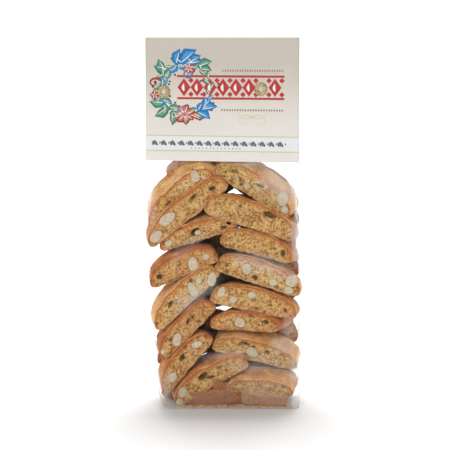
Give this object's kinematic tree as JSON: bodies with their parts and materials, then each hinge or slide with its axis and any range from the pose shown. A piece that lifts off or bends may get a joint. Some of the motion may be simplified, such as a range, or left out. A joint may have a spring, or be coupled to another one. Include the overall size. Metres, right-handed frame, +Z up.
{
  "type": "bag of biscotti",
  "caption": "Clear block-bottom bag of sliced almond biscotti lying in slanting stacks, closed by a folded printed header card with eyelets.",
  "frame": {"origin": "middle of the base's footprint box, on the surface that the bag stands on", "axes": "+Z up to the fold of the header card, the front of the bag and card faces -Y, +X to the right seen from the front"},
  "size_m": [0.1249, 0.0498, 0.2925],
  "materials": {
    "clear_film": "gloss",
    "printed_card": "matte",
    "brass": "satin",
    "biscuit": "matte",
    "almond": "satin"
  },
  "bodies": {
    "root": {"bag": "clear_film", "header_card": "printed_card", "eyelet_left": "brass", "eyelet_right": "brass"}
  },
  "joints": []
}
